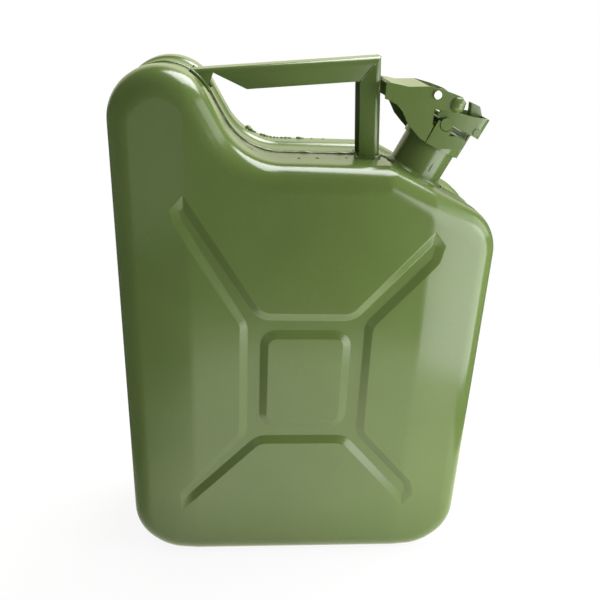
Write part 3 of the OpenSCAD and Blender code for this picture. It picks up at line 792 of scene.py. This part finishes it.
class FUELCAN_OT_drops(bpy.types.Operator):
    """Scatter drops of weld on the rims and the band under the handle, and at the neck's foot"""

    bl_idname = "fuelcan.drops"
    bl_label = "Weld drops"

    def execute(self, context):
        context.view_layer.update()
        bm = bmesh.new()
        for x, y, r in SPATTER:
            half = bpy.data.objects["front_half" if y < 0 else "back_half"]
            hit, place, normal, _ = half.ray_cast(Vector((x * MM, y * MM, ABOVE)), Vector((0, 0, -1)))
            if not hit:
                raise RuntimeError("A weld drop found no sheet")
            turn = normal.to_track_quat("Z", "Y").to_matrix().to_4x4()
            lay_drop(bm, Matrix.Translation(place) @ turn @ DROP_SHAPE, r * MM)
        for angle, r in NECK_DROPS:
            lay_drop(bm, round_neck(angle) @ DROP_PLACE, r * MM)
        lay_drop(bm, round_neck(DRIP_ANGLE) @ DRIP_PLACE @ DRIP_SHAPE, DRIP_R)
        finish_mesh(bm, "weld_drops", "can", material("paint"))
        return {"FINISHED"}


# Handle

HANDLE_CHANNELS = (("handle_bar", "handle_top"), ("handle_leg", "handle_post"))
CHANNEL_BEVEL = 1.1 * MM
HANDLE_WELDS = (("hump_weld", "hump_bead", 0), ("foot_weld", "foot_bead", 0.4))

# The mitre's beads, in millimetres: over each cheek, round the bend and across the top
MITRE_SIDE_Y, MITRE_BEND_Y, MITRE_TOP_Y = 12.45, 8.2, 8.4
MITRE_INNER, MITRE_BEND = (33.6, 379.1), (43.2, 390.4)
MITRE_OUTER, MITRE_TOP = (46.9, 394.75), (47.15, 395.0)
CHEEK_BEAD_R, BEND_BEAD_R, TOP_BEAD_R = 0.55, 0.45, 0.5
BEAD_PITCH = 1.2 * MM
BEAD_LUMPS, BEAD_ROUGHNESS, BEAD_SEED = 700, 0.4 * MM, 1


def mitre_rods():
    """Ends and radius of each bead of the mitre, in millimetres."""

    def at(place, y):
        return Vector((place[0], y, place[1]))

    rods = []
    for side in (-1, 1):
        y = side * MITRE_SIDE_Y
        rods.append((at(MITRE_INNER, y), at(MITRE_BEND, y), CHEEK_BEAD_R))
    for side in (-1, 1):
        bend = at(MITRE_BEND, side * MITRE_SIDE_Y)
        rods.append((bend, at(MITRE_OUTER, side * MITRE_BEND_Y), BEND_BEAD_R))
    rods.append((at(MITRE_TOP, -MITRE_TOP_Y), at(MITRE_TOP, MITRE_TOP_Y), TOP_BEAD_R))
    return rods


def rod(bm, a, b, r):
    """Round rod between two points, in short lengths."""
    way = b - a
    turn = way.to_track_quat("Z", "Y").to_matrix().to_4x4()
    made = bmesh.ops.create_cone(
        bm, cap_ends=True, segments=10, radius1=r, radius2=r, depth=way.length,
        matrix=Matrix.Translation((a + b) / 2) @ turn,
    )
    long = once(e for v in made["verts"] for e in v.link_edges if e.calc_length() > way.length / 2)
    cuts = max(1, int(way.length / BEAD_PITCH))
    bmesh.ops.subdivide_edges(bm, edges=long, cuts=cuts, use_grid_fill=True)


class FUELCAN_OT_handle(bpy.types.Operator):
    """Finish the handle's two channels and the beads that hold it"""

    bl_idname = "fuelcan.handle"
    bl_label = "Handle"

    def execute(self, context):
        for node, name in HANDLE_CHANNELS:
            refine(node, name, CHANNEL_BEVEL, segments=2, pillow=True)
        refine_all(HANDLE_WELDS)
        bm = bmesh.new()
        for a, b, r in mitre_rods():
            rod(bm, a * MM, b * MM, r * MM)
        noise.seed_set(BEAD_SEED)
        for v in bm.verts:
            v.co += BEAD_ROUGHNESS * noise.noise_vector(v.co * BEAD_LUMPS)
        finish_mesh(bm, "mitre_bead", "can", material("paint"), ("mitre_weld",), outward=True)
        return {"FINISHED"}


# Neck, cap and lever: node, name of the finished piece and bevel in millimetres

NECK = (
    ("filler_neck", "neck_tube", 0.3), ("neck_weld", "neck_bead", 0.6), ("neck_collar", "collar", 0.3),
    ("hinge_pins", "hinge_rivets", 0.4), ("vent_tube", "breather", 0), ("vent_clip", "breather_strap", 0.2),
)
CAP = (
    ("cap_bail", "bail", 0.3), ("bail_lug", "lug", 0.8), ("cap_cover", "cover", 0.4),
    ("cap_gasket", "gasket", 0.3), ("gasket_plate", "seal_plate", 0.2), ("cap_rivet", "rivet", 0.3),
    ("cap_trunnions", "trunnions", 0.5), ("pivot_pin", "lever_pivot_pin", 0.4),
    ("pivot_spacers", "spacers", 0.3),
)
LEVER = (("cap_lever", "lever", 0.4), ("press_pin", "press_rivet", 0.3))


class FUELCAN_OT_neck(bpy.types.Operator):
    """Finish the filler neck with its collar, hinge pins and breather"""

    bl_idname = "fuelcan.neck"
    bl_label = "Filler neck"

    def execute(self, context):
        refine_all(NECK)
        return {"FINISHED"}


class FUELCAN_OT_cap(bpy.types.Operator):
    """Finish the bail and cover, with the seal and the pins they carry"""

    bl_idname = "fuelcan.cap"
    bl_label = "Cap"

    def execute(self, context):
        refine_all(CAP)
        return {"FINISHED"}


class FUELCAN_OT_lever(bpy.types.Operator):
    """Finish the cam lever and its zinc pin"""

    bl_idname = "fuelcan.lever"
    bl_label = "Cam lever"

    def execute(self, context):
        refine_all(LEVER)
        return {"FINISHED"}


# Studio

# The photo's camera: its eye in metres, its turns in radians and its focal length in the photo's pixels
EYE = Vector((-0.04405, -0.52045, 0.43157))
YAW, PITCH, ROLL = 0.0854, 0.445, 0.0441
FOCAL_PIXELS, PHOTO_PIXELS = 703.33, 600
FILM_W = 36
PICTURE_SHIFT = 0.05
NEAR_CLIP = 10 * MM

# Lamps: name, place, aim, size, watts and colour
WHITE = (1, 1, 1)
LAMPS = (
    ("top light", (0.34, 0.34, 1.22), (0, 0, 0.35), (0.74, 0.84), 22, WHITE),
    ("side light", (1.1, -0.1, 0.68), (0, 0, 0.33), (0.9, 0.6), 5, WHITE),
    ("room glow", (-0.42, -0.9, 0.16), (-0.12, -0.06, 0.3), (0.26, 0.3), 0.13, WHITE),
    ("backdrop light", (0, 1.1, 0.75), (0, 0, 0.3), (2.4, 1.0), 6.5, (0.98, 1, 0.68)),
    ("window", (0.3175, -0.2275, 0.235), (0.10, -0.02, 0.23), (0.30, 0.42), 2.0, WHITE),
)

# The surroundings as the can is lit by them, as it mirrors them and as the camera sees them
AIR_LIT, AIR_MIRRORED, AIR_SEEN = 0.62, 0.10, 1.0

FLOOR_HALF = 4
FLOOR_DROP = 0.2 * MM

# Painted reflection: a pale patch that the floor glows with for mirror rays only, in place of a lit card;
# its middle, its half sizes and how bright it glows
REFLECTION_X, REFLECTION_Y = 0.02, -0.08
REFLECTION_HALF_W, REFLECTION_HALF_D = 0.27, 0.42
REFLECTION_COLOUR = (0.97, 1, 0.78, 1)
REFLECTION_GLOW = 2.4
BARE_FLOOR = 0.04

# Places and levels of the patch's soft edge, and of the painted shade at its left end and at its end by the
# can
REFLECTION_EDGE = ((0.92, 1.0), (1.0, BARE_FLOOR))
REFLECTION_LEFT_SHADE = ((-0.19, 0.15), (-0.10, 1.0))
REFLECTION_NEAR_SHADE = ((-0.15, 1.0), (-0.08, 0.55))
RAMP_SHIFT = 0.5

# How the floor fades for the camera: distances from the can's middle and the share of white there
FLOOR_FADE = ((0.25, 0.88), (0.55, 1.0))


def fourth(value):
    square = value * value
    return square * square


def area_light(name, place, aim, size, watts, tint):
    lamp = bpy.data.lights.new(name, "AREA")
    lamp.shape = "RECTANGLE"
    lamp.size, lamp.size_y = size
    lamp.energy = watts
    lamp.color = tint
    item = bpy.data.objects.new(name, lamp)
    bpy.context.scene.collection.objects.link(item)
    item.location = place
    item.rotation_euler = (Vector(aim) - Vector(place)).to_track_quat("-Z", "Y").to_euler()
    item.visible_camera = False


def along(m, place, low, high):
    """A ramp over a place in metres, which may lie below zero."""
    shifted = [(stop + RAMP_SHIFT, level) for stop, level in (low, high)]
    return m.ramp(place + RAMP_SHIFT, *shifted)


def floor_paper():
    """Paper floor that fades to white far off; to mirror rays it is dark but for a glowing patch before the
    can, a painted reflection with painted shade at its left end and by the can.
    """
    m = Shader(bpy.data.materials.new("studio floor"))
    c = colours()
    paper = m.mix(m.noise(scale=40.0, detail=3.0), rgba(c.floor, 0.98), rgba(c.floor, 1.02))
    x = m.node("ShaderNodeSeparateXYZ", "X", None, Vector=m.place())
    y = m.node("ShaderNodeSeparateXYZ", "Y", None, Vector=m.place())
    reach = (fourth((x - REFLECTION_X) / REFLECTION_HALF_W) + fourth((y - REFLECTION_Y) / REFLECTION_HALF_D)).root(4)
    # Painted reflection: the patch's glow, darkened as painted shade at its left end and at its end by the
    # can
    reflection_patch = m.ramp(reach, *REFLECTION_EDGE)
    reflection_patch = reflection_patch * along(m, x, *REFLECTION_LEFT_SHADE)
    reflection_patch = reflection_patch * along(m, y, *REFLECTION_NEAR_SHADE)
    lit = m.node("ShaderNodeBsdfDiffuse", Color=paper)
    # The floor glows with the patch for mirror rays only: a painted reflection, not a lamp
    painted_reflection = m.node(
        "ShaderNodeEmission", Color=m.mix(reflection_patch, grey(BARE_FLOOR), REFLECTION_COLOUR), Strength=REFLECTION_GLOW
    )
    white = m.node("ShaderNodeEmission", Color=grey(1.0))
    shade = m.mix_shader(m.node("ShaderNodeLightPath", "Is Glossy Ray"), lit, painted_reflection)
    far = m.ramp((x * x + y * y).root(2), *FLOOR_FADE)
    return m.finish(m.mix_shader(m.node("ShaderNodeLightPath", "Is Camera Ray") * far, shade, white))


class FUELCAN_OT_studio(bpy.types.Operator):
    """Set the camera, the lights, the surroundings and the pale floor"""

    bl_idname = "fuelcan.studio"
    bl_label = "Studio"

    def execute(self, context):
        scene = context.scene
        scene.view_settings.view_transform = "Standard"
        self.camera(scene)
        for lamp in LAMPS:
            area_light(*lamp)
        self.surroundings(scene)
        self.floor(scene)
        return {"FINISHED"}

    @staticmethod
    def camera(scene):
        ahead = Vector((math.sin(YAW), math.cos(YAW), 0))
        level = Vector((math.cos(YAW), -math.sin(YAW), 0))
        forward = math.cos(PITCH) * ahead - math.sin(PITCH) * Vector((0, 0, 1))
        upright = math.sin(PITCH) * ahead + math.cos(PITCH) * Vector((0, 0, 1))
        right = math.cos(ROLL) * level + math.sin(ROLL) * upright
        up = -math.sin(ROLL) * level + math.cos(ROLL) * upright
        data = bpy.data.cameras.new("camera")
        data.sensor_fit = "HORIZONTAL"
        data.sensor_width = FILM_W
        data.lens = FOCAL_PIXELS * FILM_W / PHOTO_PIXELS
        data.shift_y = PICTURE_SHIFT
        data.clip_start = NEAR_CLIP
        item = bpy.data.objects.new("camera", data)
        scene.collection.objects.link(item)
        item.matrix_world = Matrix.Translation(EYE) @ Matrix((right, up, -forward)).transposed().to_4x4()
        scene.camera = item

    @staticmethod
    def surroundings(scene):
        scene.world = bpy.data.worlds.new("studio")
        m = Shader(scene.world, "ShaderNodeOutputWorld")
        shade = m.node("ShaderNodeBackground", Color=grey(AIR_LIT))
        for ray, level in (("Is Glossy Ray", AIR_MIRRORED), ("Is Camera Ray", AIR_SEEN)):
            share = m.node("ShaderNodeLightPath", ray)
            shade = m.mix_shader(share, shade, m.node("ShaderNodeBackground", Color=grey(level)))
        m.finish(shade)

    @staticmethod
    def floor(scene):
        bm = bmesh.new()
        bmesh.ops.create_grid(bm, x_segments=2, y_segments=2, size=FLOOR_HALF)
        bmesh.ops.translate(bm, vec=(0, 0, -FLOOR_DROP), verts=bm.verts)
        mesh = bpy.data.meshes.new("floor")
        bm.to_mesh(mesh)
        bm.free()
        mesh.materials.append(floor_paper())
        item = bpy.data.objects.new("floor", mesh)
        scene.collection.objects.link(item)


# The add-on

OPERATORS = (
    FUELCAN_OT_halves, FUELCAN_OT_seam, FUELCAN_OT_drops, FUELCAN_OT_handle, FUELCAN_OT_neck,
    FUELCAN_OT_cap, FUELCAN_OT_lever, FUELCAN_OT_studio,
)


class FUELCAN_PT_panel(bpy.types.Panel):
    bl_idname = "FUELCAN_PT_panel"
    bl_label = "Fuel can"
    bl_space_type = "VIEW_3D"
    bl_region_type = "UI"
    bl_category = "Fuel can"

    def draw(self, context):
        for group in (context.scene.fuel_can_sizes, context.scene.fuel_can_colours):
            for key in group.bl_rna.properties.keys():
                if key not in ("rna_type", "name"):
                    self.layout.prop(group, key)
        for operator in OPERATORS:
            self.layout.operator(operator.bl_idname)


CLASSES = (FuelCanSizes, FuelCanColours) + OPERATORS + (FUELCAN_PT_panel,)


def register():
    for cls in CLASSES:
        bpy.utils.register_class(cls)
    bpy.types.Scene.fuel_can_sizes = PointerProperty(type=FuelCanSizes)
    bpy.types.Scene.fuel_can_colours = PointerProperty(type=FuelCanColours)


def unregister():
    del bpy.types.Scene.fuel_can_colours
    del bpy.types.Scene.fuel_can_sizes
    for cls in reversed(CLASSES):
        bpy.utils.unregister_class(cls)


def main():
    register()
    bpy.ops.fuelcan.halves()
    bpy.ops.fuelcan.seam()
    bpy.ops.fuelcan.drops()
    bpy.ops.fuelcan.handle()
    bpy.ops.fuelcan.neck()
    bpy.ops.fuelcan.cap()
    bpy.ops.fuelcan.lever()
    bpy.ops.fuelcan.studio()


if __name__ == "__main__":
    main()
